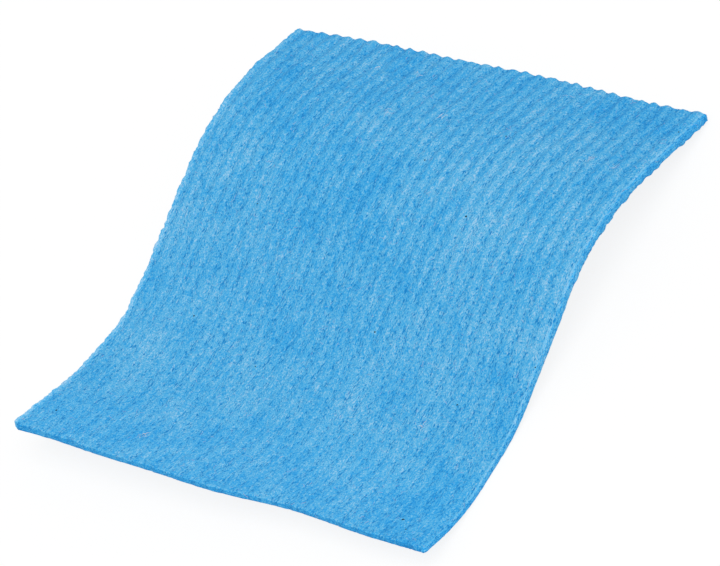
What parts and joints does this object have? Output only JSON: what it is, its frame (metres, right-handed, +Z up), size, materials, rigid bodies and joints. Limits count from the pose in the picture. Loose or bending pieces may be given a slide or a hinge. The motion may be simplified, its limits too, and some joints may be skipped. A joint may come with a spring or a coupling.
{
  "type": "sponge cloth",
  "caption": "Ribbed cellulose sponge cloth: one soft sheet lying in a shallow S, with its pressed near end curled up and a low arch behind it.",
  "frame": {"origin": "under the middle of the cloth's bounding box, on the table that it lies on", "axes": "+Y along the ribs from the pressed near end to the full far end, +X across the ribs, +Z up from the table"},
  "size_m": [0.1806, 0.1976, 0.0213],
  "materials": {
    "cellulose_sponge": "matte sky-blue cellulose sponge with a felt-like grain, small pores between the ribs and pale loose fibres"
  },
  "bodies": {
    "root": {"sponge_cloth": "cellulose_sponge"}
  },
  "joints": []
}
